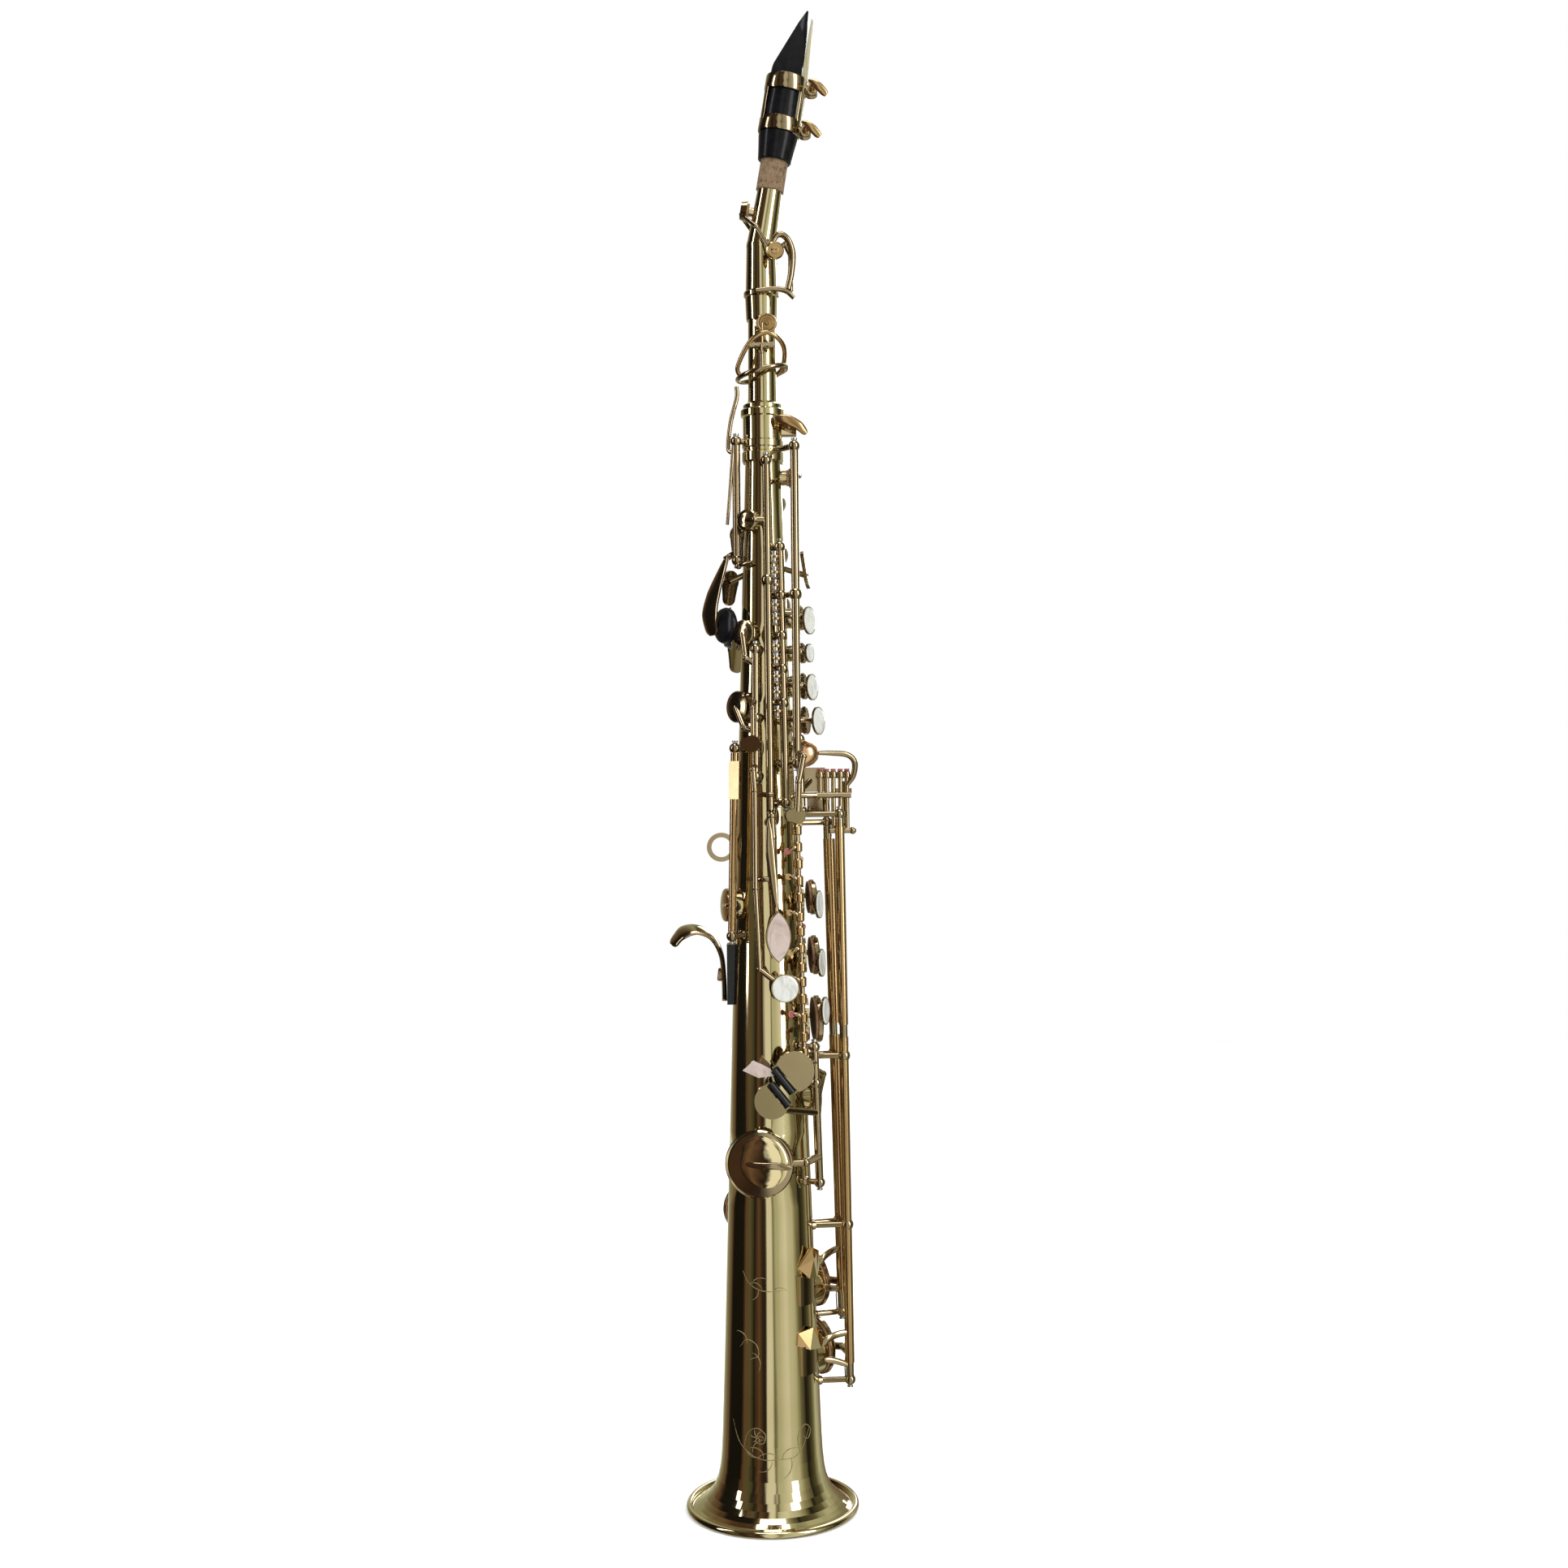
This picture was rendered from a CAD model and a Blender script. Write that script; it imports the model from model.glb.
import math
import bmesh
import bpy
from mathutils import Matrix, Vector


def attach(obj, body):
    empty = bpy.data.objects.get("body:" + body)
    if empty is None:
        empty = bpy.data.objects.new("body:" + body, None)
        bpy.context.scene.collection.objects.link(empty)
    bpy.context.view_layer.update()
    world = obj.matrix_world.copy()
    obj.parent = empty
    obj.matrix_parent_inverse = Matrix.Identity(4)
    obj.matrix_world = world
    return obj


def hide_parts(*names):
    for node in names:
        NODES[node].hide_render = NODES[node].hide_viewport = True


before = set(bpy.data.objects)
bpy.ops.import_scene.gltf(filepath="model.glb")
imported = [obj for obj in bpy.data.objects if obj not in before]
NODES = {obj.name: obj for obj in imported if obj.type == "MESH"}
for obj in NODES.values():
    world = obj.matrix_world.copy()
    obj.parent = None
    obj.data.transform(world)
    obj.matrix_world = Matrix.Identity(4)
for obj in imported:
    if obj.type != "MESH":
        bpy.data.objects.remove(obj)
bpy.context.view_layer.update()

MM = 0.001


# ---- shape of the tube, as in the CAD model, in mm
def cone(z):
    return 20.5 - 0.0325 * (z - 139)


def pol(th, r, z):
    a = math.radians(th)
    return Vector((r * math.cos(a), r * math.sin(a), z))


def on(th, d, z):
    return pol(th, cone(z) + d, z)


# ---- materials
def new_material(name, **sockets):
    m = bpy.data.materials.new(name)
    m.use_nodes = True
    bsdf = m.node_tree.nodes["Principled BSDF"]
    for key, value in sockets.items():
        bsdf.inputs[key.replace("_", " ")].default_value = value
    return m, m.node_tree, bsdf


def noise(tree, scale, detail=4.0, rough=0.5, stretch=(1, 1, 1)):
    coord = tree.nodes.new("ShaderNodeTexCoord")
    mapping = tree.nodes.new("ShaderNodeMapping")
    mapping.inputs["Scale"].default_value = stretch
    tex = tree.nodes.new("ShaderNodeTexNoise")
    tex.inputs["Scale"].default_value = scale
    tex.inputs["Detail"].default_value = detail
    tex.inputs["Roughness"].default_value = rough
    tree.links.new(coord.outputs["Object"], mapping.inputs["Vector"])
    tree.links.new(mapping.outputs["Vector"], tex.inputs["Vector"])
    return tex


def ramp(tree, source, stops):
    node = tree.nodes.new("ShaderNodeValToRGB")
    while len(node.color_ramp.elements) < len(stops):
        node.color_ramp.elements.new(0.5)
    for element, (pos, colour) in zip(node.color_ramp.elements, stops):
        element.position = pos
        element.color = (*colour, 1) if len(colour) == 3 else colour
    tree.links.new(source, node.inputs["Fac"])
    return node


def spread(tree, source, low, high):
    node = tree.nodes.new("ShaderNodeMapRange")
    node.inputs["To Min"].default_value = low
    node.inputs["To Max"].default_value = high
    tree.links.new(source, node.inputs["Value"])
    return node.outputs["Result"]


def bump(tree, bsdf, source, strength, distance):
    node = tree.nodes.new("ShaderNodeBump")
    node.inputs["Strength"].default_value = strength
    node.inputs["Distance"].default_value = distance
    tree.links.new(source, node.inputs["Height"])
    tree.links.new(node.outputs["Normal"], bsdf.inputs["Normal"])


def brass_material(name, light, deep, rough_low, rough_high):
    m, tree, bsdf = new_material(name, Metallic=1.0, Coat_Weight=0.6, Coat_Roughness=0.04, Coat_IOR=1.5)
    big = noise(tree, 26, 3)
    col = ramp(tree, big.outputs["Fac"], [(0.3, deep), (0.7, light)])
    tree.links.new(col.outputs["Color"], bsdf.inputs["Base Color"])
    fine = noise(tree, 420, 6, 0.6)
    tree.links.new(spread(tree, fine.outputs["Fac"], rough_low, rough_high), bsdf.inputs["Roughness"])
    ripple = noise(tree, 60, 2)
    bump(tree, bsdf, ripple.outputs["Fac"], 0.08, 0.0002)
    return m


BRASS = brass_material("lacquered_brass", (0.64, 0.55, 0.34), (0.57, 0.48, 0.28), 0.04, 0.10)
KEY_BRASS = brass_material("key_brass", (0.40, 0.31, 0.19), (0.31, 0.23, 0.14), 0.09, 0.17)
POLISHED = brass_material("polished_cup", (0.86, 0.74, 0.48), (0.78, 0.64, 0.38), 0.03, 0.07)
COPPER = brass_material("coppery_brass", (0.88, 0.56, 0.36), (0.78, 0.42, 0.22), 0.20, 0.30)
BRONZE = brass_material("dark_lacquered_brass", (0.55, 0.37, 0.18), (0.40, 0.24, 0.11), 0.14, 0.26)


def steel_material():
    m, tree, bsdf = new_material("rod_steel", Metallic=1.0)
    fine = noise(tree, 500, 4, 0.5, (1, 1, 0.05))
    col = ramp(tree, fine.outputs["Fac"], [(0.3, (0.42, 0.43, 0.45)), (0.7, (0.62, 0.63, 0.66))])
    tree.links.new(col.outputs["Color"], bsdf.inputs["Base Color"])
    tree.links.new(spread(tree, fine.outputs["Fac"], 0.18, 0.32), bsdf.inputs["Roughness"])
    return m


STEEL = steel_material()


def ebonite_material():
    m, tree, bsdf = new_material("ebonite", Specular_IOR_Level=0.14)
    grain = noise(tree, 180, 5)
    col = ramp(tree, grain.outputs["Fac"], [(0.3, (0.003, 0.003, 0.004)), (0.75, (0.009, 0.009, 0.011))])
    tree.links.new(col.outputs["Color"], bsdf.inputs["Base Color"])
    fine = noise(tree, 900, 6)
    tree.links.new(spread(tree, fine.outputs["Fac"], 0.12, 0.26), bsdf.inputs["Roughness"])
    bump(tree, bsdf, fine.outputs["Fac"], 0.05, 0.00004)
    return m


EBONITE = ebonite_material()


def plastic_black():
    m, tree, bsdf = new_material("black_plastic", Specular_IOR_Level=0.35)
    fine = noise(tree, 700, 5)
    col = ramp(tree, fine.outputs["Fac"], [(0.3, (0.004, 0.004, 0.005)), (0.8, (0.012, 0.012, 0.014))])
    tree.links.new(col.outputs["Color"], bsdf.inputs["Base Color"])
    tree.links.new(spread(tree, fine.outputs["Fac"], 0.18, 0.36), bsdf.inputs["Roughness"])
    bump(tree, bsdf, fine.outputs["Fac"], 0.08, 0.00005)
    return m


BLACK = plastic_black()


def cork_material():
    m, tree, bsdf = new_material("cork", Specular_IOR_Level=0.25)
    grains = tree.nodes.new("ShaderNodeTexVoronoi")
    grains.inputs["Scale"].default_value = 620
    coord = tree.nodes.new("ShaderNodeTexCoord")
    tree.links.new(coord.outputs["Object"], grains.inputs["Vector"])
    col = ramp(tree, grains.outputs["Distance"], [
        (0.0, (0.15, 0.10, 0.055)), (0.5, (0.22, 0.15, 0.085)), (1.0, (0.08, 0.05, 0.028))])
    pores = noise(tree, 380, 6, 0.7)
    mix = tree.nodes.new("ShaderNodeMix")
    mix.data_type = "RGBA"
    mix.blend_type = "MULTIPLY"
    mix.inputs["Factor"].default_value = 0.6
    dark = ramp(tree, pores.outputs["Fac"], [(0.35, (0.35, 0.25, 0.18)), (0.55, (1, 1, 1))])
    tree.links.new(col.outputs["Color"], mix.inputs["A"])
    tree.links.new(dark.outputs["Color"], mix.inputs["B"])
    tree.links.new(mix.outputs["Result"], bsdf.inputs["Base Color"])
    tree.links.new(spread(tree, pores.outputs["Fac"], 0.6, 0.9), bsdf.inputs["Roughness"])
    bump(tree, bsdf, pores.outputs["Fac"], 0.5, 0.0002)
    return m


CORK = cork_material()


def cane_material():
    m, tree, bsdf = new_material("cane", Specular_IOR_Level=0.35)
    fibre = noise(tree, 900, 5, 0.6, (1, 1, 0.03))
    col = ramp(tree, fibre.outputs["Fac"], [
        (0.25, (0.24, 0.22, 0.12)), (0.6, (0.36, 0.33, 0.20)), (0.85, (0.44, 0.40, 0.26))])
    tree.links.new(col.outputs["Color"], bsdf.inputs["Base Color"])
    tree.links.new(spread(tree, fibre.outputs["Fac"], 0.35, 0.6), bsdf.inputs["Roughness"])
    bump(tree, bsdf, fibre.outputs["Fac"], 0.25, 0.00008)
    return m


CANE = cane_material()


def leather_material():
    m, tree, bsdf = new_material("pad_leather", Specular_IOR_Level=0.35)
    grain = noise(tree, 700, 6, 0.6)
    col = ramp(tree, grain.outputs["Fac"], [(0.3, (0.20, 0.10, 0.045)), (0.7, (0.36, 0.20, 0.10))])
    tree.links.new(col.outputs["Color"], bsdf.inputs["Base Color"])
    tree.links.new(spread(tree, grain.outputs["Fac"], 0.45, 0.7), bsdf.inputs["Roughness"])
    bump(tree, bsdf, grain.outputs["Fac"], 0.35, 0.00012)
    return m


LEATHER = leather_material()


def felt_material():
    m, tree, bsdf = new_material("bumper_felt", Sheen_Weight=0.6, Sheen_Roughness=0.5)
    hair = noise(tree, 1200, 8, 0.75)
    col = ramp(tree, hair.outputs["Fac"], [(0.3, (0.22, 0.03, 0.03)), (0.7, (0.42, 0.08, 0.07))])
    tree.links.new(col.outputs["Color"], bsdf.inputs["Base Color"])
    tree.links.new(spread(tree, hair.outputs["Fac"], 0.8, 1.0), bsdf.inputs["Roughness"])
    bump(tree, bsdf, hair.outputs["Fac"], 0.7, 0.0002)
    return m


FELT = felt_material()


def pearl_material(name, low, high, tint):
    m, tree, bsdf = new_material(name, Coat_Weight=0.7, Coat_Roughness=0.05, Specular_IOR_Level=0.6)
    swirl = noise(tree, 130, 5, 0.55, (1, 1, 0.45))
    swirl.inputs["Distortion"].default_value = 1.4
    col = ramp(tree, swirl.outputs["Fac"], [(0.3, low), (0.5, high), (0.64, tint), (0.8, high)])
    tree.links.new(col.outputs["Color"], bsdf.inputs["Base Color"])
    tree.links.new(spread(tree, swirl.outputs["Fac"], 0.12, 0.3), bsdf.inputs["Roughness"])
    return m


PEARL = pearl_material("mother_of_pearl", (0.34, 0.35, 0.32), (0.56, 0.56, 0.52), (0.46, 0.49, 0.48))
PINK = pearl_material("pink_pearl", (0.31, 0.23, 0.20), (0.45, 0.36, 0.32), (0.41, 0.34, 0.34))


def blued_steel():
    m, tree, bsdf = new_material("blued_spring_steel", Metallic=1.0)
    fine = noise(tree, 800, 3)
    col = ramp(tree, fine.outputs["Fac"], [(0.3, (0.05, 0.06, 0.10)), (0.7, (0.11, 0.13, 0.20))])
    tree.links.new(col.outputs["Color"], bsdf.inputs["Base Color"])
    tree.links.new(spread(tree, fine.outputs["Fac"], 0.25, 0.4), bsdf.inputs["Roughness"])
    return m


BLUE_STEEL = blued_steel()


def engraved_material():
    m, tree, bsdf = new_material("engraved_line", Metallic=0.5)
    fine = noise(tree, 900, 3)
    col = ramp(tree, fine.outputs["Fac"], [(0.3, (0.16, 0.12, 0.05)), (0.7, (0.34, 0.27, 0.13))])
    tree.links.new(col.outputs["Color"], bsdf.inputs["Base Color"])
    tree.links.new(spread(tree, fine.outputs["Fac"], 0.4, 0.6), bsdf.inputs["Roughness"])
    return m


ENGRAVED = engraved_material()


# ---- which finish each CAD node has
FINISH = {
    "hinge_rods": STEEL, "neck_pivots": STEEL, "mouthpiece": EBONITE, "reed": CANE, "neck_cork": CORK,
    "thumb_hook_plate": BLACK, "low_eb_rollers": BLACK, "low_c_rollers": BLACK, "guard_felts": FELT,
    "body_tube": BRASS, "bell_rim": BRASS, "neck_tube": BRASS, "neck_ferrule": BRASS, "neck_receiver": BRASS,
}


def islands(mesh):
    """Faces grouped into the separate solids of a node, joining vertices that share a place."""
    places = {}
    root = list(range(len(mesh.vertices)))

    def find(i):
        while root[i] != i:
            root[i] = root[root[i]]
            i = root[i]
        return i

    for v in mesh.vertices:
        key = tuple(round(c * 1e6) for c in v.co)
        if key in places:
            root[find(v.index)] = find(places[key])
        else:
            places[key] = v.index
    for poly in mesh.polygons:
        first = find(poly.vertices[0])
        for i in poly.vertices[1:]:
            root[find(i)] = first
    groups = {}
    for poly in mesh.polygons:
        groups.setdefault(find(poly.vertices[0]), []).append(poly)
    return list(groups.values())


def centre_of(mesh, polys):
    points = [mesh.vertices[i].co for p in polys for i in p.vertices]
    low = Vector([min(p[k] for p in points) for k in range(3)])
    high = Vector([max(p[k] for p in points) for k in range(3)])
    return (low + high) / 2 / MM, (high - low).length / MM


def paint(name, obj):
    mesh = obj.data
    mesh.materials.clear()
    if name in FINISH:
        mesh.materials.append(FINISH[name])
        return
    pearl = PINK if name == "high_e_key" else PEARL
    metal = BRONZE if name == "rear_trill_key" else KEY_BRASS
    for m in (metal, LEATHER, pearl, BLACK):
        mesh.materials.append(m)
    groups = islands(mesh)
    sizes = [centre_of(mesh, g) for g in groups]
    biggest = max(s[1] for s in sizes)
    for polys, (mid, size) in zip(groups, sizes):
        index = 0
        if name.endswith("_key") and size < biggest - 1e-6:
            proud = math.hypot(mid.x, mid.y) - cone(mid.z)
            index = 1 if proud < 6.9 or mid.z > 540 else 2
        if name == "thumb_rest" and math.hypot(mid.x, mid.y) > 15.9:
            index = 3
        for p in polys:
            p.material_index = index


for node_name, node_obj in NODES.items():
    paint(node_name, node_obj)


# ---- building helpers for the small pieces
def finish_mesh(name, bm, mat, body, smooth=True):
    mesh = bpy.data.meshes.new(name)
    bmesh.ops.recalc_face_normals(bm, faces=bm.faces)
    bm.to_mesh(mesh)
    bm.free()
    mesh.materials.append(mat)
    if smooth:
        mesh.shade_smooth()
        mesh.set_sharp_from_angle(angle=math.radians(38))
    obj = bpy.data.objects.new(name, mesh)
    bpy.context.scene.collection.objects.link(obj)
    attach(obj, body)
    return obj


def frame_of(direction):
    """Rotation whose third column is the direction."""
    return direction.to_track_quat("Z", "Y").to_matrix().to_4x4()


def lathe(bm, profile, place, direction, sides=28):
    """Turn a profile of (radius, height) in mm round an axis, and add it to bm."""
    turn = Matrix.Translation(Vector(place) * MM) @ frame_of(Vector(direction).normalized())
    rings = []
    for r, h in profile:
        if r < 1e-6:
            rings.append([bm.verts.new(turn @ Vector((0, 0, h * MM)))])
            continue
        rings.append([bm.verts.new(turn @ Vector((r * MM * math.cos(2 * math.pi * i / sides),
                                                  r * MM * math.sin(2 * math.pi * i / sides), h * MM)))
                      for i in range(sides)])
    for low, high in zip(rings, rings[1:]):
        if len(low) == 1 and len(high) == 1:
            continue
        for i in range(sides):
            j = (i + 1) % sides
            if len(low) == 1:
                bm.faces.new((low[0], high[j], high[i]))
            elif len(high) == 1:
                bm.faces.new((low[i], low[j], high[0]))
            else:
                bm.faces.new((low[i], low[j], high[j], high[i]))


def smooth_path(points, steps=6):
    """A Catmull-Rom curve through the points."""
    pts = [Vector(p) for p in points]
    if len(pts) < 3:
        return pts
    pts = [2 * pts[0] - pts[1]] + pts + [2 * pts[-1] - pts[-2]]
    out = []
    for a, b, c, d in zip(pts, pts[1:], pts[2:], pts[3:]):
        for i in range(steps):
            t = i / steps
            out.append(0.5 * (2 * b + (c - a) * t + (2 * a - 5 * b + 4 * c - d) * t * t
                              + (3 * b - a - 3 * c + d) * t * t * t))
    return out + [pts[-2]]


def wire(bm, points, radii, sides=10, steps=6, flat=1.0):
    """Sweep a round or flattened wire along points in mm."""
    path = smooth_path(points, steps)
    total = len(path) - 1
    if isinstance(radii, (int, float)):
        radii = (radii, radii)
    rings = []
    side = None
    for i, p in enumerate(path):
        t = (path[min(i + 1, total)] - path[max(i - 1, 0)]).normalized()
        if side is None:
            side = t.orthogonal().normalized()
        side = (side - side.dot(t) * t).normalized()
        other = t.cross(side)
        f = i / total * (len(radii) - 1)
        k = min(int(f), len(radii) - 2)
        r = radii[k] + (radii[k + 1] - radii[k]) * (f - k)
        rings.append([bm.verts.new((p + side * r * math.cos(2 * math.pi * j / sides)
                                    + other * r * flat * math.sin(2 * math.pi * j / sides)) * MM)
                      for j in range(sides)])
    for low, high in zip(rings, rings[1:]):
        for j in range(sides):
            k = (j + 1) % sides
            bm.faces.new((low[j], low[k], high[k], high[j]))
    bm.faces.new(list(reversed(rings[0])))
    bm.faces.new(rings[-1])


def slotted_head(bm, place, direction, r=1.5, h=0.8):
    """A screw head with a slot across it."""
    d = Vector(direction).normalized()
    lathe(bm, [(0, 0), (r, 0), (r, h * 0.55), (r * 0.96, h * 0.6), (0, h * 0.6)], place, d, 20)
    turn = Matrix.Translation(Vector(place) * MM) @ frame_of(d)
    for s in (-1, 1):
        low, high = [], []
        for i in range(11):
            a = math.radians(14 + 152 * i / 10)
            x, y = r * 0.94 * math.cos(a), s * r * 0.94 * math.sin(a)
            low.append(bm.verts.new(turn @ (Vector((x, y, h * 0.6)) * MM)))
            high.append(bm.verts.new(turn @ (Vector((x * 0.93, y * 0.96, h)) * MM)))
        bm.faces.new(high)
        for i in range(10):
            bm.faces.new((low[i], low[i + 1], high[i + 1], high[i]))
        bm.faces.new((low[0], low[-1], high[-1], high[0]))


# ---- hinge lines, as in the CAD model
LINES = {
    "left_stack": (lambda z: on(-63, 7, z), [340, 387.5, 403.8, 419.6, 438.8, 462]),
    "right_stack": (lambda z: on(52, 7, z), [220.4, 251.2, 281.2, 305.6]),
    "high_e": (lambda z: on(-84, 6.2, z), [330.8, 503.2]),
    "high_fs": (lambda z: pol(-52, 24.4, z), [358.8, 509.2]),
    "side": (lambda z: on(-104, 6.2, z), [352.8, 380.6, 413.2]),
    "trill": (lambda z: on(-138, 6.5, z), [276.8, 366.2]),
    "palm": (lambda z: on(102, 5.6, z), [424.8, 448.6, 473.4, 497.2]),
    "g_sharp": (lambda z: on(40, 8.5, z), [335.8, 371.2]),
    "c_sharp": (lambda z: on(78, 8, z), [127.8, 330.2]),
    "low_c": (lambda z: on(-28, 7.2, z), [158.8, 206.2, 223.2]),
    "octave": (lambda z: pol(-161, 13.6, z), [456.8, 514.2]),
    "low_b": (lambda z: Vector((34.5 - 4.5 * (z - 100) / 212, 12, z)), [90.4, 330.2]),
    "low_bb": (lambda z: Vector((38.1 - 2.4 * (z - 60) / 250, 3, z)), [59.8, 334.2]),
}

heads = bmesh.new()
springs = bmesh.new()
for place, knots in LINES.values():
    low, high = place(knots[0]), place(knots[-1])
    u = (high - low).normalized()
    slotted_head(heads, low - u * 2.9, -u)
    slotted_head(heads, high + u * 2.9, u)
    out = Vector((low.x, low.y, 0)).normalized()
    side = u.cross(out)
    for z in knots[:-1]:
        p = place(z) - out * 2.2
        course = [p + side * 1.0, p + u * 8 + side * 1.6, p + u * 17 + out * 1.2 + side * 2.4]
        wire(springs, course, (0.32, 0.3, 0.16), 6, 3)
finish_mesh("rod_screw_heads", heads, STEEL, "horn_body")
finish_mesh("needle_springs", springs, BLUE_STEEL, "horn_body")


# ---- engraving on the bell: generic scrolls, laid on the tube
def tube_r(z):
    return cone(z) + (16.5 * math.exp(-z / 6.6) if z < 60 else 0)


def scroll(bm, marks, r=0.2):
    """marks are (sideways mm from the near side, height mm) on the wall."""
    pts = []
    for x, z in marks:
        rr = tube_r(z)
        a = math.radians(-90) + x / rr
        pts.append(((rr + 0.02) * math.cos(a), (rr + 0.02) * math.sin(a), z))
    wire(bm, pts, (r * 0.4, r, r, r * 0.4), 6, 5)


def leaf(x, z, length, lean, bend):
    a = math.radians(lean)
    pts = []
    for i in range(7):
        t = i / 6
        b = a + math.radians(bend) * t
        pts.append((x + length * t * math.sin(b), z + length * t * math.cos(b)))
    return pts


engraving = bmesh.new()
scroll(engraving, [(-21, 47), (-17, 38), (-11, 33), (-4, 30.5), (4, 30.6), (11, 31), (16, 35), (20, 43)])
scroll(engraving, [(-14, 35), (-12, 42), (-7, 45), (-3, 42), (-4, 38), (-7.5, 38.5), (-7, 41.5)])
scroll(engraving, [(14, 33), (13, 40), (17, 45), (21, 42), (19, 38), (16, 40)])
for lean in range(0, 360, 60):
    scroll(engraving, leaf(-7, 41, 3.4, lean, 40))
for x, z, length, lean, bend in (
        (-9, 33, 9, -20, 60), (-4, 31, 8, 15, -70), (5, 31, 9, 5, 60), (9, 31, 10, 150, 50),
        (-13, 35, 8, 165, -50), (0, 30, 8, 170, 60), (3, 31, 10, -30, -60)):
    scroll(engraving, leaf(x, z, length, lean, bend))
scroll(engraving, [(-14, 118), (-11, 113), (-6, 110), (0, 109), (6, 109.5)])
for x, z, length, lean, bend in (
        (-9, 112, 8, 10, 60), (-4, 110, 7, -10, -60), (-6, 110, 6, 160, 50), (1, 109, 7, 30, 60)):
    scroll(engraving, leaf(x, z, length, lean, bend))
scroll(engraving, [(-16, 82), (-12, 86), (-7, 84), (-6, 79), (-10, 77)])
scroll(engraving, leaf(-12, 84, 8, 20, -70))
scroll(engraving, leaf(-9, 80, 9, 100, 60))
finish_mesh("bell_engraving", engraving, ENGRAVED, "horn_body")


# ---- shaped pieces that stand for, or are added to, the plainer CAD ones
def blade(bm, points, widths, thick, side, steps=8, sides=16, turn=None):
    """Sweep a flat oval along points: half widths along the side direction, half thickness across it."""
    path = smooth_path(points, steps)
    total = len(path) - 1
    rings = []
    for i, p in enumerate(path):
        t = (path[min(i + 1, total)] - path[max(i - 1, 0)]).normalized()
        w = Vector(side).lerp(Vector(turn or side), i / total)
        w = (w - w.dot(t) * t).normalized()
        n = t.cross(w)
        f = i / total * (len(widths) - 1)
        k = min(int(f), len(widths) - 2)
        half = widths[k] + (widths[k + 1] - widths[k]) * (f - k)
        end = min(i, total - i)
        half *= (0.45, 0.8, 0.95, 1)[min(end, 3)]
        rings.append([bm.verts.new((p + w * half * math.cos(2 * math.pi * j / sides)
                                    + n * thick * math.sin(2 * math.pi * j / sides)) * MM)
                      for j in range(sides)])
    for low, high in zip(rings, rings[1:]):
        for j in range(sides):
            k = (j + 1) % sides
            bm.faces.new((low[j], low[k], high[k], high[j]))
    bm.faces.new(list(reversed(rings[0])))
    bm.faces.new(rings[-1])


def ball_at(bm, place, r):
    steps = 8
    lathe(bm, [(r * math.sin(math.pi * i / steps) if 0 < i < steps else 0, -r * math.cos(math.pi * i / steps))
               for i in range(steps + 1)], place, (0, 0, 1), 16)


LEAN = math.radians(9.5)
MOUTH_WAY = (math.sin(LEAN), 0, math.cos(LEAN))
UP, NEAR = (0, 0, 1), (0, -1, 0)


def at_mouth(x, y, z):
    """A point in the leaning frame of the mouthpiece: x to the reed, z from its socket to its tip."""
    s = z + 41.7
    return Vector((x * math.cos(LEAN) + s * math.sin(LEAN), y, 609 - x * math.sin(LEAN) + s * math.cos(LEAN)))


# thumb hook: one broad bent strap with its screw
bm = bmesh.new()
blade(bm, [(-21.0, 0, 244.5), (-21.3, 0, 256), (-22.6, 0, 267), (-27, 0, 275.4), (-34, 0, 278.8),
           (-41, 0, 277.4), (-46.2, 0, 271.6)],
      (5.0, 5.4, 5.2, 4.6, 4.6, 5.8, 4.6), 1.25, (0, 1, 0), 10, 20, (-0.1, 0.8, 0.6))
lathe(bm, [(0, 0), (3, 0), (3.2, 0.4), (3.2, 1.8), (2.8, 2.2), (0, 2.2)], (-22, 0, 257), (-1, 0, 0.1), 32)
hook = finish_mesh("thumb_hook_strap", bm, KEY_BRASS, "horn_body")
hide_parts("thumb_hook")

# octave touch: hinge tube, arms and a curved spoon
oct_line = LINES["octave"][0]
bm = bmesh.new()
wire(bm, [oct_line(458.9), oct_line(512.1)], 1.95, 24, 1)
wire(bm, [oct_line(509), (-16.6, -1.4, 511), (-15.4, -0.6, 524), (-12.4, 0, 536), (-12.4, 0, 541.4)],
     1.1, 14, 8)
wire(bm, [oct_line(461), (-16, -1.6, 459.5), (-19, -1.2, 457.6)], 1.5, 14, 6)
blade(bm, [(-17.4, -2, 459.5), (-20.4, -2.2, 452), (-24.4, -2, 441), (-26.4, -1.6, 431), (-25.2, -1, 421)],
      (1.6, 3.4, 5.6, 6.4, 4.4), 0.8, (0.62, -0.78, 0), 10, 20)
spoon = finish_mesh("octave_touch_spoon", bm, KEY_BRASS, "octave_thumb_key")
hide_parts("octave_thumb_key")

# clamp screw of the neck socket
bm = bmesh.new()
wire(bm, [(13, 6.5, 521.5), (13, -10.6, 521.5)], 1.3, 18, 1)
lathe(bm, [(0, 0), (2.6, 0), (2.6, 1.8), (0, 1.8)], (13, -3.9, 521.5), NEAR, 28)
blade(bm, [(6.2, -10.2, 524), (9.4, -11, 523.6), (13, -11.2, 522.6), (17.4, -11, 520.2), (21, -10.4, 516.4)],
      (1.6, 2.4, 2.7, 2.5, 1.7), 0.9, (0, 0.15, 1), 8, 18)
clamp = finish_mesh("socket_clamp_screw", bm, BRONZE, "receiver_screw")
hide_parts("receiver_screw")

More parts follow.
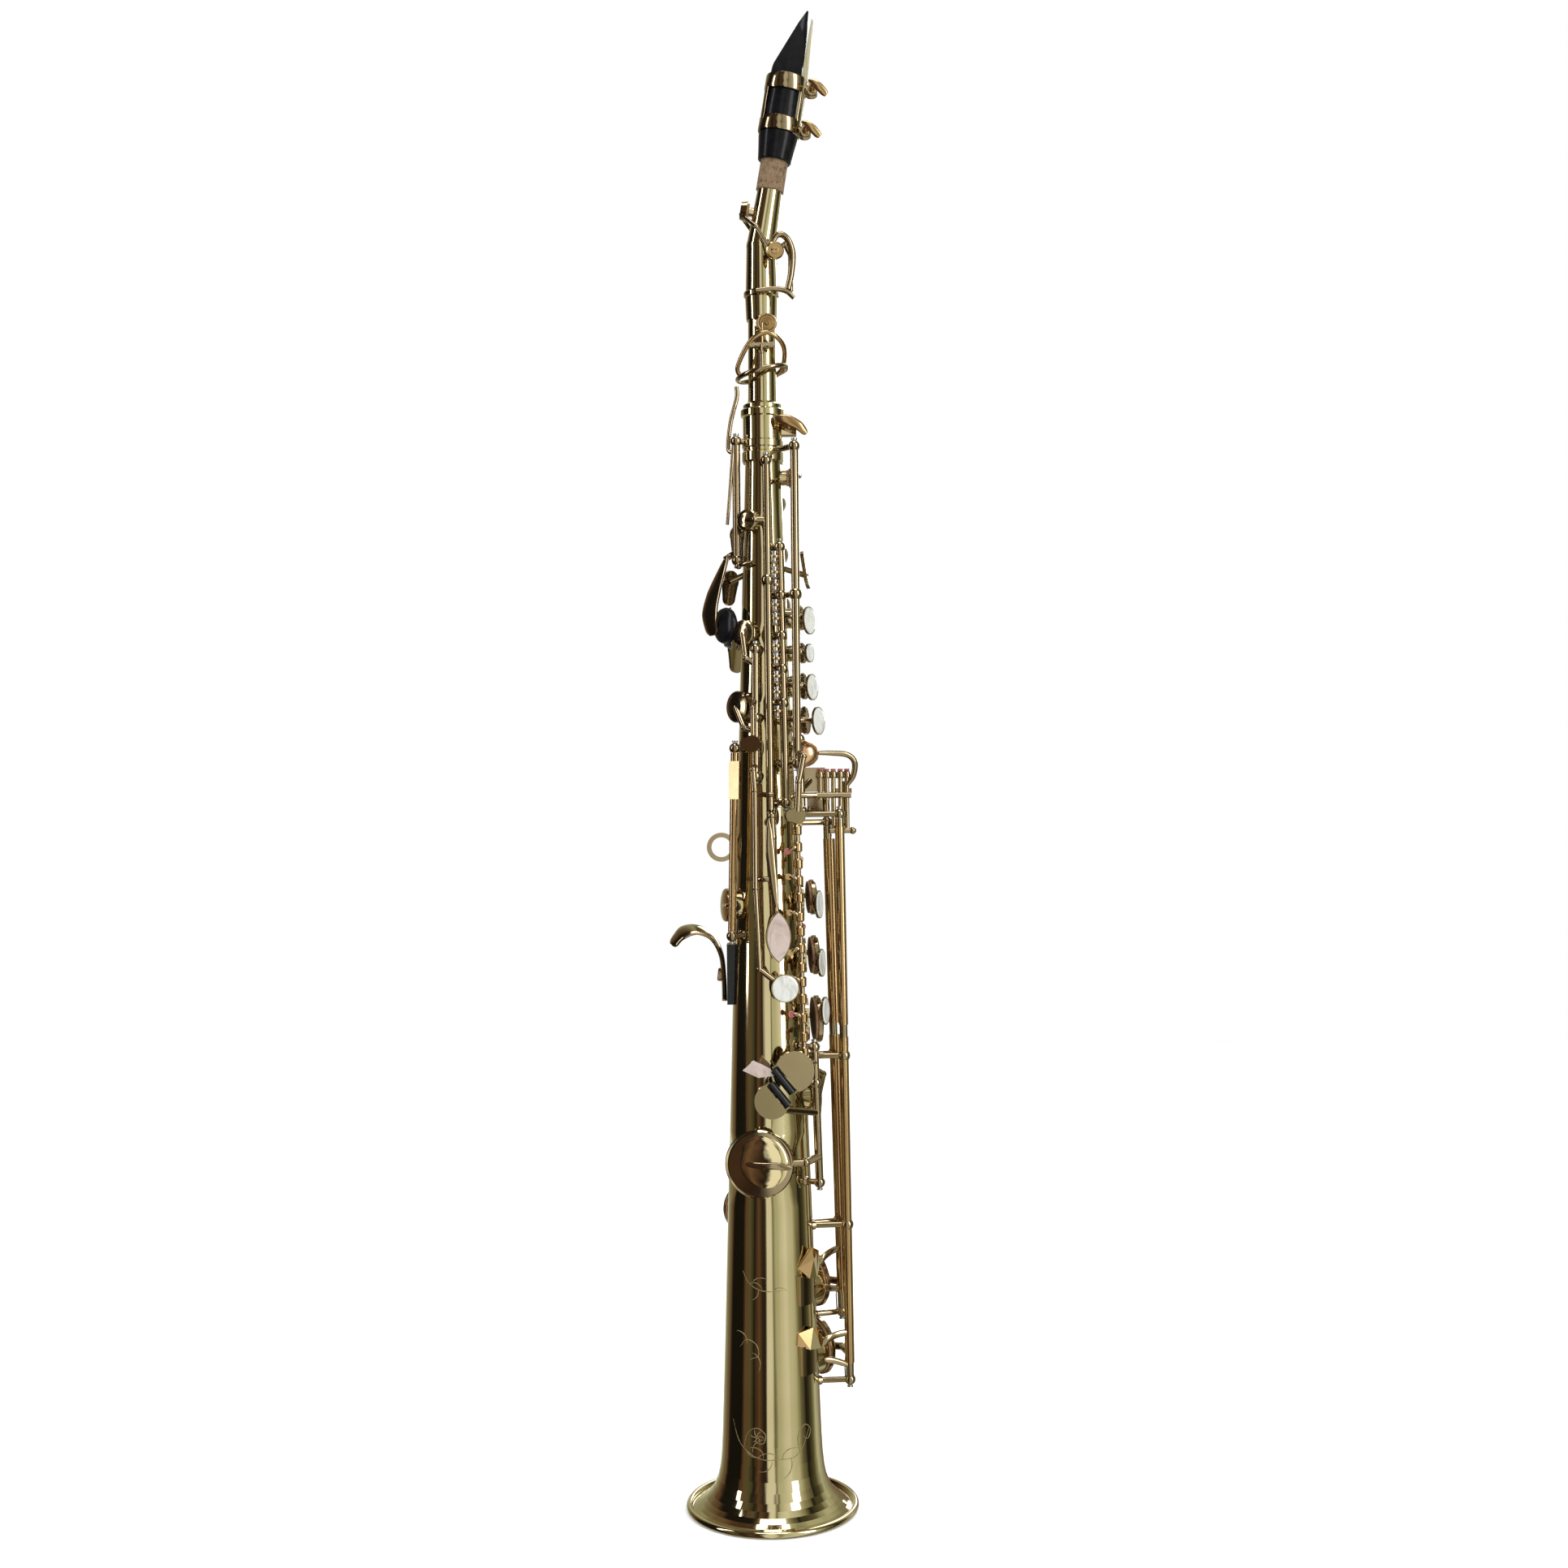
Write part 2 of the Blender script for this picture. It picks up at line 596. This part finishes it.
# ligature screws
LIGATURE_SCREWS = {"upper": 36.2, "lower": 16}
for which, z in LIGATURE_SCREWS.items():
    bm = bmesh.new()
    wire(bm, [at_mouth(13, 4.6, z), at_mouth(13, -10.4, z)], 1, 16, 1)
    lathe(bm, [(0, 0), (1.9, 0), (2, 0.3), (2, 1.9), (1.7, 2.2), (0, 2.2)], at_mouth(13, -3.8, z), NEAR, 24)
    blade(bm, [at_mouth(10.6, -9.6, z + 1.6), at_mouth(13, -10.4, z + 0.8), at_mouth(16.2, -10.8, z - 1),
               at_mouth(20.4, -10.4, z - 4.2)],
          (1.3, 1.8, 2.1, 1.8), 0.85, (0.5, 0, 1), 8, 18)
    screw = finish_mesh("ligature_wing_" + which, bm, BRONZE, "ligature_screw_" + which)
    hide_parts("ligature_screw_" + which)

# ligature: two bands joined by side frames, with lugs for the screws
bm = bmesh.new()
for low, high in ((13.4, 19.6), (33.4, 40.2)):
    rim = [(9.5, low), (10.1, low - 0.25), (10.35, low + 0.4), (10.3, (low + high) / 2), (10.35, high - 0.4),
           (10.1, high + 0.25), (9.5, high), (9.5, low)]
    lathe(bm, rim, at_mouth(0, 0, 0), MOUTH_WAY, 80)
for turn in (28, 152, 208, 332):
    c, w = math.cos(math.radians(turn)), math.sin(math.radians(turn))
    side_bar = [at_mouth(10 * c, 10 * w, z) for z in (17.5, 24, 30, 35.5)]
    blade(bm, side_bar, (2.4, 1.9, 1.9, 2.4), 0.45, (-w, c, 0), 4, 14)
for z in sorted(LIGATURE_SCREWS.values()):
    for s in (-1, 1):
        lug = [at_mouth(9.6, s * 2.6, z), at_mouth(12.4, s * 2.5, z), at_mouth(15.4, s * 2.5, z)]
        blade(bm, lug, (2.9, 2.7, 2.3), 1.0, UP, 4, 14)
bands = finish_mesh("ligature_bands", bm, KEY_BRASS, "mouthpiece")
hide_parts("ligature")

# reed: a thick pale wedge along the table
bm = bmesh.new()
# height along the mouthpiece, inner face, outer face
reed_side = [(13, 6.9, 9.2), (24, 6.9, 9.4), (40, 6.9, 9.7), (52, 6.9, 9.0), (62, 7.0, 8.4), (69.3, 7.2, 8.0)]
rows = []
for z, inner, outer in reed_side:
    half = 5.4 + 0.8 * min(1, z / 60) - (1.6 if z > 69 else 0)
    section = ((inner, -half), (outer - 0.7, -half), (outer, -half * 0.55), (outer + 0.1, 0),
               (outer, half * 0.55), (outer - 0.7, half), (inner, half))
    rows.append([bm.verts.new(at_mouth(x, y, z) * MM) for x, y in section])
for a, b in zip(rows, rows[1:]):
    for j in range(7):
        k = (j + 1) % 7
        bm.faces.new((a[j], a[k], b[k], b[j]))
bm.faces.new(list(reversed(rows[0])))
bm.faces.new(rows[-1])
cane = finish_mesh("reed_wedge", bm, CANE, "mouthpiece", False)
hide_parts("reed")

# mouthpiece: fuller shank below the ligature
bm = bmesh.new()
shank = [(7.0, 12.8), (7.0, -0.3), (7.5, -0.5), (8.1, 0), (8.7, 5), (9.55, 11), (9.6, 12.6), (9.1, 13),
         (7.0, 12.8)]
lathe(bm, shank, at_mouth(0, 0, 0), MOUTH_WAY, 72)
finish_mesh("mouthpiece_shank", bm, EBONITE, "mouthpiece")

# lower bell keys: fuller tubes over their long rods
bm = bmesh.new()
low_b, low_bb = LINES["low_b"][0], LINES["low_bb"][0]
aside = Vector((0.7, -0.4, 0))
for z0, z1 in ((100, 226), (232, 322)):
    wire(bm, [low_b(z0) + aside, low_b(z1) + aside], 2.9, 28, 1)
finish_mesh("low_b_outer_tube", bm, BRONZE, "low_b_key")
bm = bmesh.new()
for z0, z1 in ((68, 226), (232, 328)):
    wire(bm, [low_bb(z0), low_bb(z1)], 2.3, 28, 1)
finish_mesh("low_bb_outer_tube", bm, BRONZE, "low_bb_key")

# right hand: regulating rod with knuckles, corks and short arms, low on the near side of the stack
rod, knuckles, pads = bmesh.new(), bmesh.new(), bmesh.new()
ROD_TURN, ROD_LIFT = -47, 7.2
wire(rod, [on(ROD_TURN, ROD_LIFT, 214), on(ROD_TURN, ROD_LIFT, 334)], 1.25, 16, 1)
for i, z in enumerate((222, 229, 238, 247, 255, 262, 271, 279, 286, 295, 303, 311, 319, 327)):
    c = on(ROD_TURN, ROD_LIFT, z)
    lathe(knuckles, [(0, -2.4), (1.7, -2.4), (2.2, -1.8), (2.2, 1.8), (1.7, 2.4), (0, 2.4)], c, UP, 20)
    tip = on(-38 if i % 2 else -60, 5.4, z + (2 if i % 3 else -2))
    wire(rod, [c, (c + tip) / 2 + Vector((0.4, -0.8, 0.6)), tip], (1.3, 0.9), 12, 5)
    owner = pads if i % 5 == 2 else knuckles
    lathe(owner, [(0, -0.5), (1.5, -0.5), (1.5, 1.0), (0, 1.0)], tip, (0.3, -1, 0), 16)
finish_mesh("regulating_rod", rod, KEY_BRASS, "horn_body")
finish_mesh("regulating_knuckles", knuckles, BRONZE, "horn_body")
finish_mesh("regulating_corks", pads, FELT, "horn_body")

# low C cup: polished dome inside a raised ring, with its bar across
CUP_TURN = -101
cup_place = on(CUP_TURN, 5.2, 170)
cup_way = pol(CUP_TURN, 1, 0)
bm = bmesh.new()
profile = [(0, 0), (15.3, 0), (16.1, 0.2), (16.2, 1.0), (15.7, 1.6), (14.9, 1.5), (14.6, 1.1)]
for i in range(1, 12):
    a = math.pi / 2 * i / 12
    profile.append((14.6 * math.cos(a), 1.1 + 3.1 * math.sin(a)))
profile.append((0, 4.2))
lathe(bm, profile, cup_place, cup_way, 96)
finish_mesh("low_c_dome", bm, POLISHED, "low_c_key")
bm = bmesh.new()
across = Vector((-cup_way.y, cup_way.x, 0))
heart = cup_place + cup_way * 4.4
blade(bm, [heart - across * 5.5 + Vector((0, 0, 0.6)), heart + across * 3, heart + across * 9 - cup_way * 0.6,
           heart + across * 15.6 - cup_way * 2.4 - Vector(UP)],
      (1.3, 1.6, 1.7, 1.6), 0.9, UP, 6, 16)
finish_mesh("low_c_cup_bar", bm, KEY_BRASS, "low_c_key")


def plate(bm, outer, inner):
    """A flat piece with the two given outlines as its faces."""
    a = [bm.verts.new(v * MM) for v in outer]
    b = [bm.verts.new(v * MM) for v in inner]
    bm.faces.new(a)
    bm.faces.new(list(reversed(b)))
    for i in range(len(a)):
        j = (i + 1) % len(a)
        bm.faces.new((a[i], b[i], b[j], a[j]))


def folded_plate(bm, outline, thick=1.2):
    """A plate through points given as angle, height above the tube and z, thickened inwards."""
    outer = [on(*place) for place in outline]
    plate(bm, outer, [v - Vector((v.x, v.y, 0)).normalized() * thick for v in outer])


# bell key guards: folded plates on the near side of the tube
sides, faces = bmesh.new(), bmesh.new()
folded_plate(sides, [(-53, 0.8, 119), (-34, 3.4, 128), (-36, 4.6, 122.5), (-40, 3.2, 113.6)])
folded_plate(faces, [(-34, 3.4, 128), (-17, 3.4, 125), (-17, 3.4, 117), (-27, 3.6, 113), (-40, 3.2, 113.6),
                     (-36, 4.6, 122.5)])
folded_plate(sides, [(-55, 0.8, 88.4), (-37, 3.2, 90.2), (-43, 3.2, 80.2), (-57, 0.8, 82.6)])
folded_plate(faces, [(-37, 3.2, 90.2), (-13, 3.2, 87.6), (-20, 3.2, 78.6), (-43, 3.2, 80.2)])
finish_mesh("guard_fold_sides", sides, BRONZE, "horn_body", False)
finish_mesh("guard_fold_faces", faces, POLISHED, "horn_body", False)

# curved arms of the bell keys, an upper and a lower one each
BELL_ARMS = {
    "low_b": ([(23.2, -2, 117), (25.6, -1, 120), (29.4, 3, 121.8), (34.2, 11, 122)],
              [(25.8, -1, 106), (29, 3, 104), (34.3, 11, 101.8)]),
    "low_bb": ([(24.4, -4, 78.4), (27.2, -3, 81), (32, 0, 82.4), (38, 2.6, 82.8)],
               [(25.6, -2, 71), (31, 0, 69.6), (38, 2.6, 66.6)]),
}
for which, (upper, lower) in BELL_ARMS.items():
    bm = bmesh.new()
    blade(bm, upper, (1.6, 1.8, 1.7, 1.6), 0.9, UP, 6, 16)
    blade(bm, lower, (1.6, 1.6, 1.4), 0.9, UP, 6, 16)
    finish_mesh(which + "_curved_arms", bm, KEY_BRASS, which + "_key")

# thumb rest button
bm = bmesh.new()
button = [(0, -1.6), (7.6, -1.6), (8.6, -0.8), (8.8, 0.6), (8.2, 2), (6.2, 3), (3, 3.4), (0, 3.5)]
lathe(bm, button, (-18.4, -4.2, 425.4), (-0.8, -0.55, 0), 56)
finish_mesh("thumb_rest_button", bm, EBONITE, "horn_body")

# the closed sides of the mouthpiece window
bm = bmesh.new()
for s in (-1, 1):
    corners = []
    for x, z in ((-1.5, 41), (6.6, 41), (5.9, 52), (-1.0, 56)):
        for y in (4.0, 5.4):
            corners.append(bm.verts.new(at_mouth(x, s * y, z) * MM))
    for quad in ((0, 2, 4, 6), (1, 3, 5, 7), (0, 1, 3, 2), (2, 3, 5, 4), (4, 5, 7, 6), (6, 7, 1, 0)):
        bm.faces.new([corners[i] for i in quad])
finish_mesh("mouthpiece_side_rails", bm, EBONITE, "mouthpiece", False)

# neck: pivot block, curved tail with its foot, and the vent key's bent wire and disc
bm = bmesh.new()
block = [(0, 0), (3.6, 0), (4.2, 0.4), (4.3, 1.2), (3.7, 1.8), (0, 1.8)]
lathe(bm, block, (6.6, -12.7, 603.4), (0.2, -1, 0), 32)
slotted_head(bm, (6.6, -14.4, 603.4), NEAR, 1.9, 0.8)
finish_mesh("neck_pivot_head", bm, BRONZE, "neck")
bm = bmesh.new()
tail = [(5.4, -11.6, 607.6), (8.6, -11.5, 611.6), (12.6, -11.2, 609.8), (15, -11, 603), (14.4, -11, 593),
        (12.8, -11, 585.6)]
foot = [(-2.4, -11.2, 585.2), (6, -11.4, 585.8), (12, -11.2, 584.6), (15.8, -10.8, 581.2)]
wire(bm, tail, (1.2, 1.6, 1.7, 1.5), 16, 8)
wire(bm, foot, (0.9, 1.3, 1.3, 1.1), 14, 6)
finish_mesh("octave_tail_strand", bm, KEY_BRASS, "neck_octave_key")
bm = bmesh.new()
bent = [(-10.4, -3.4, 545.4), (-11.6, -5.4, 550), (-6, -11.2, 560), (0.8, -12.8, 564.4), (7, -11, 563),
        (10.8, -5, 558.4), (9.8, 4, 551), (4, 10.6, 547)]
wire(bm, bent, 1.15, 14, 8)
disc = [(0, 1.2), (0.9, 1.2), (1.2, 0.9), (1.3, 0.35), (2.5, 0.3), (2.9, 0.75), (3.5, 0.8), (3.8, 0.4),
        (3.85, -1), (0, -1)]
lathe(bm, disc, (2.6, -11, 569.5), (0.1, -1, 0), 40)
ring = [(3.9, -0.6), (4.6, -0.5), (4.8, 0), (4.6, 0.5), (3.9, 0.6), (3.9, -0.6)]
lathe(bm, ring, (2.6, -11.2, 569.5), (0.1, -1, 0), 40)
finish_mesh("vent_rocker_wire", bm, BRONZE, "neck_vent_key")

# left hand: adjusting screws, links and cork blocks between the two upright rods
screws, links, corks = bmesh.new(), bmesh.new(), bmesh.new()
for z in (457, 449.5, 443.5, 434, 427.5, 414.5, 408.5, 400, 392.5, 383.5):
    a, b = LINES["left_stack"][0](z), LINES["high_e"][0](z)
    mid = (a + b) / 2 + Vector((0.3, -1.4, 0))
    link = [a + Vector((-1.2, -1, 0)), mid + Vector((0.6, 0, 0)), mid + Vector((-0.4, 0.6, 0))]
    wire(links, link, (1.3, 1.5), 12, 4)
    adjuster = [(0, -2.2), (1.15, -2.2), (1.15, 1.6), (1.5, 1.7), (1.5, 2.5), (1.1, 2.8), (0, 2.8)]
    lathe(screws, adjuster, mid, UP, 18)
    lathe(corks, [(0, 0), (1.5, 0), (1.5, 0.9), (0, 0.9)], mid + Vector((0, 0, -3.2)), UP, 16)
finish_mesh("adjusting_screws", screws, STEEL, "horn_body")
finish_mesh("adjusting_links", links, BRONZE, "horn_body")
finish_mesh("adjusting_corks", corks, CORK, "horn_body")

# rods and bars seen on the near side
bm = bmesh.new()
wire(bm, [(-14.2, -5, 512), (-15.6, -5.4, 494), (-17.4, -5, 474)], (0.9, 0.8), 12, 6)
finish_mesh("octave_link_rod", bm, KEY_BRASS, "octave_thumb_key")
bm = bmesh.new()
wire(bm, [(-12.2, -6.6, 454), (-9, -9.6, 454.6), (-5.4, -11.6, 455)], 1.1, 12, 4)
ball_at(bm, (-12.2, -6.6, 454), 1.7)
wire(bm, [(-6.5, -12, 344.5), (0.5, -21, 344), (3.4, -21.6, 344)], 1.2, 12, 4)
wire(bm, [(-9, -14, 304), (-3, -21, 304), (2, -22, 304)], 1.2, 12, 4)
finish_mesh("near_side_braces", bm, KEY_BRASS, "horn_body")
bm = bmesh.new()
blade(bm, [(1.4, -26.2, 332), (1.9, -27.2, 318), (3.2, -27, 304), (4.6, -26.8, 291)],
      (1.3, 2.3, 2.0, 1.4), 0.8, (1, 0.1, 0), 8, 16)
finish_mesh("high_e_flat_bar", bm, KEY_BRASS, "high_e_key")

# left little finger: domed cup, bent lever, comb of adjusters and parallel rods
bm = bmesh.new()
dome = [(0, -0.6), (6.5, -0.6), (6.6, 0), (6.3, 2.0), (5.2, 4.4), (3.2, 6.4), (0, 7.3)]
lathe(bm, dome, on(-4, 5.4, 363.6), (1, -0.12, 0.05), 40)
finish_mesh("g_sharp_dome", bm, COPPER, "g_sharp_key")
bm = bmesh.new()
wire(bm, [(25.5, 0.6, 363.9), (32, 3, 363.8), (39.6, 5.4, 363), (43.2, 6.8, 359.4), (42.6, 8, 353),
          (39.6, 9, 348.4)],
     (1.0, 1.3, 1.5, 1.5, 1.4, 1.2), 16, 10)
finish_mesh("g_sharp_bent_lever", bm, KEY_BRASS, "g_sharp_key")
comb, tips = bmesh.new(), bmesh.new()
for i, x in enumerate((26.4, 29.6, 32.8, 36.2, 39.4)):
    wire(comb, [(x, 9, 326.5 if i > 1 else 341), (x, 9, 352.5)], 1.15, 14, 1)
    lathe(comb, [(0, 0), (1.7, 0), (1.9, 0.6), (1.7, 3), (1.2, 3.6), (0, 3.8)], (x, 9, 351.6), UP, 18)
    lathe(tips, [(0, 0), (1.3, 0), (1.3, 0.9), (0, 0.9)], (x, 9, 355.3), UP, 16)
wire(comb, [(24.6, 8, 343.4), (41.4, 8, 343.4)], 1.5, 14, 1)
wire(comb, [(31, 8.4, 326), (42, 8.4, 326)], 1.3, 14, 1)
ball_at(comb, (42, 8.4, 326), 1.8)
wire(comb, [(24.8, 8, 343.4), (20, 6, 343.4), (14, 4, 343.4)], 1.4, 14, 3)
finish_mesh("table_comb", comb, KEY_BRASS, "horn_body")
finish_mesh("table_comb_felts", tips, FELT, "horn_body")

# pale wing beside the right little finger keys
bm = bmesh.new()
front = [Vector(v) for v in ((-12.0, -27.4, 214.6), (-6.8, -28.6, 219.4), (1.2, -29.6, 215.6),
                             (2.6, -29.9, 212.4), (-4.6, -29.4, 211.4))]
plate(bm, front, [v + Vector((0, 1.3, 0)) for v in front])
finish_mesh("side_wing", bm, PINK, "low_eb_key", False)


# ---- studio: pale floor, soft boxes and a room that only reflections see
def simple_material(name, colour, rough):
    m, _, bsdf = new_material(name, Roughness=rough)
    bsdf.inputs["Base Color"].default_value = (*colour, 1)
    return m


def plane(name, size, place, turn, mat):
    mesh = bpy.data.meshes.new(name)
    w, h = size[0] / 2, size[1] / 2
    mesh.from_pydata([(-w, -h, 0), (w, -h, 0), (w, h, 0), (-w, h, 0)], [], [(0, 1, 2, 3)])
    mesh.materials.append(mat)
    obj = bpy.data.objects.new(name, mesh)
    bpy.context.scene.collection.objects.link(obj)
    obj.location = place
    obj.rotation_euler = [math.radians(a) for a in turn]
    return obj


pale = simple_material("pale_floor", (0.93, 0.93, 0.93), 0.7)
floor = plane("floor", (3.2, 3.2), (0, 0, -0.0004), (0, 0, 0), pale)
floor.visible_glossy = False


def area_light(name, place, target, size, power, colour=(1, 1, 1)):
    data = bpy.data.lights.new(name, "AREA")
    data.shape = "RECTANGLE"
    data.size, data.size_y = size
    data.energy = power
    data.color = colour
    obj = bpy.data.objects.new(name, data)
    bpy.context.scene.collection.objects.link(obj)
    obj.location = place
    obj.rotation_euler = (Vector(target) - Vector(place)).to_track_quat("-Z", "Y").to_euler()
    return obj


area_light("soft_left", (-1.5, -0.5, 0.9), (0, 0, 0.36), (0.25, 1.6), 7)
area_light("soft_right", (1.3, -1.1, 0.9), (0, 0, 0.36), (0.5, 1.8), 15)
area_light("soft_back", (0.5, 1.6, 1.1), (0, 0, 0.36), (0.6, 1.4), 10)
area_light("soft_top", (0, -0.2, 2.2), (0, 0, 0.3), (0.9, 0.9), 12)


def studio_world():
    """White to the camera; reflections see a room with soft light and dark upright bands."""
    world = bpy.data.worlds.new("studio")
    bpy.context.scene.world = world
    world.use_nodes = True
    tree = world.node_tree
    tree.nodes.clear()
    out = tree.nodes.new("ShaderNodeOutputWorld")
    coord = tree.nodes.new("ShaderNodeTexCoord")
    split = tree.nodes.new("ShaderNodeSeparateXYZ")
    tree.links.new(coord.outputs["Generated"], split.inputs["Vector"])
    turn = tree.nodes.new("ShaderNodeMath")
    turn.operation = "ARCTAN2"
    tree.links.new(split.outputs["Y"], turn.inputs[0])
    tree.links.new(split.outputs["X"], turn.inputs[1])
    share = spread(tree, turn.outputs["Value"], 0, 1)
    share.node.inputs["From Min"].default_value = -math.pi
    share.node.inputs["From Max"].default_value = math.pi
    # irregular edges, so that the streaks wander as they do in a real room
    mapping = tree.nodes.new("ShaderNodeMapping")
    mapping.inputs["Scale"].default_value = (1, 1, 0.6)
    wander = tree.nodes.new("ShaderNodeTexNoise")
    wander.inputs["Scale"].default_value = 5.0
    wander.inputs["Detail"].default_value = 3.0
    tree.links.new(coord.outputs["Generated"], mapping.inputs["Vector"])
    tree.links.new(mapping.outputs["Vector"], wander.inputs["Vector"])
    shift = spread(tree, wander.outputs["Fac"], -0.035, 0.035)
    total = tree.nodes.new("ShaderNodeMath")
    total.operation = "ADD"
    tree.links.new(share, total.inputs[0])
    tree.links.new(shift, total.inputs[1])
    # 0.25 is the camera's side, 0.5 is to its right, 0.75 behind the horn, 0 and 1 to its left
    cream, pale, mid = (0.95, 0.95, 0.82), (0.62, 0.64, 0.46), (0.30, 0.28, 0.17)
    olive, brown, dark = (0.13, 0.12, 0.06), (0.16, 0.09, 0.05), (0.012, 0.011, 0.009)
    bands = ramp(tree, total.outputs["Value"], [
        (0.00, dark), (0.045, dark), (0.07, brown), (0.10, olive), (0.14, dark), (0.17, brown), (0.205, dark),
        (0.22, cream), (0.262, cream), (0.275, olive), (0.29, pale), (0.36, cream), (0.42, pale), (0.46, mid),
        (0.50, dark), (0.55, olive), (0.60, pale), (0.66, mid), (0.72, brown), (0.78, pale), (0.84, mid),
        (0.90, brown), (0.94, dark), (1.00, dark)])
    lit = tree.nodes.new("ShaderNodeBackground")
    lit.inputs["Strength"].default_value = 1.0
    tree.links.new(bands.outputs["Color"], lit.inputs["Color"])
    plain = tree.nodes.new("ShaderNodeBackground")
    plain.inputs["Color"].default_value = (1, 1, 1, 1)
    plain.inputs["Strength"].default_value = 1.0
    path = tree.nodes.new("ShaderNodeLightPath")
    pick = tree.nodes.new("ShaderNodeMixShader")
    tree.links.new(path.outputs["Is Glossy Ray"], pick.inputs["Fac"])
    tree.links.new(plain.outputs["Background"], pick.inputs[1])
    tree.links.new(lit.outputs["Background"], pick.inputs[2])
    tree.links.new(pick.outputs["Shader"], out.inputs["Surface"])


studio_world()
bpy.context.scene.view_settings.view_transform = "Standard"

# ---- camera at the photograph's viewing angle
cam_data = bpy.data.cameras.new("camera")
cam_data.sensor_width = 36
cam_data.lens = 43.6
cam_data.clip_end = 100
camera = bpy.data.objects.new("camera", cam_data)
bpy.context.scene.collection.objects.link(camera)
camera.location = (0.0087, -0.919, 0.349)
camera.rotation_euler = (math.radians(90), math.radians(0.54), 0)
bpy.context.scene.camera = camera
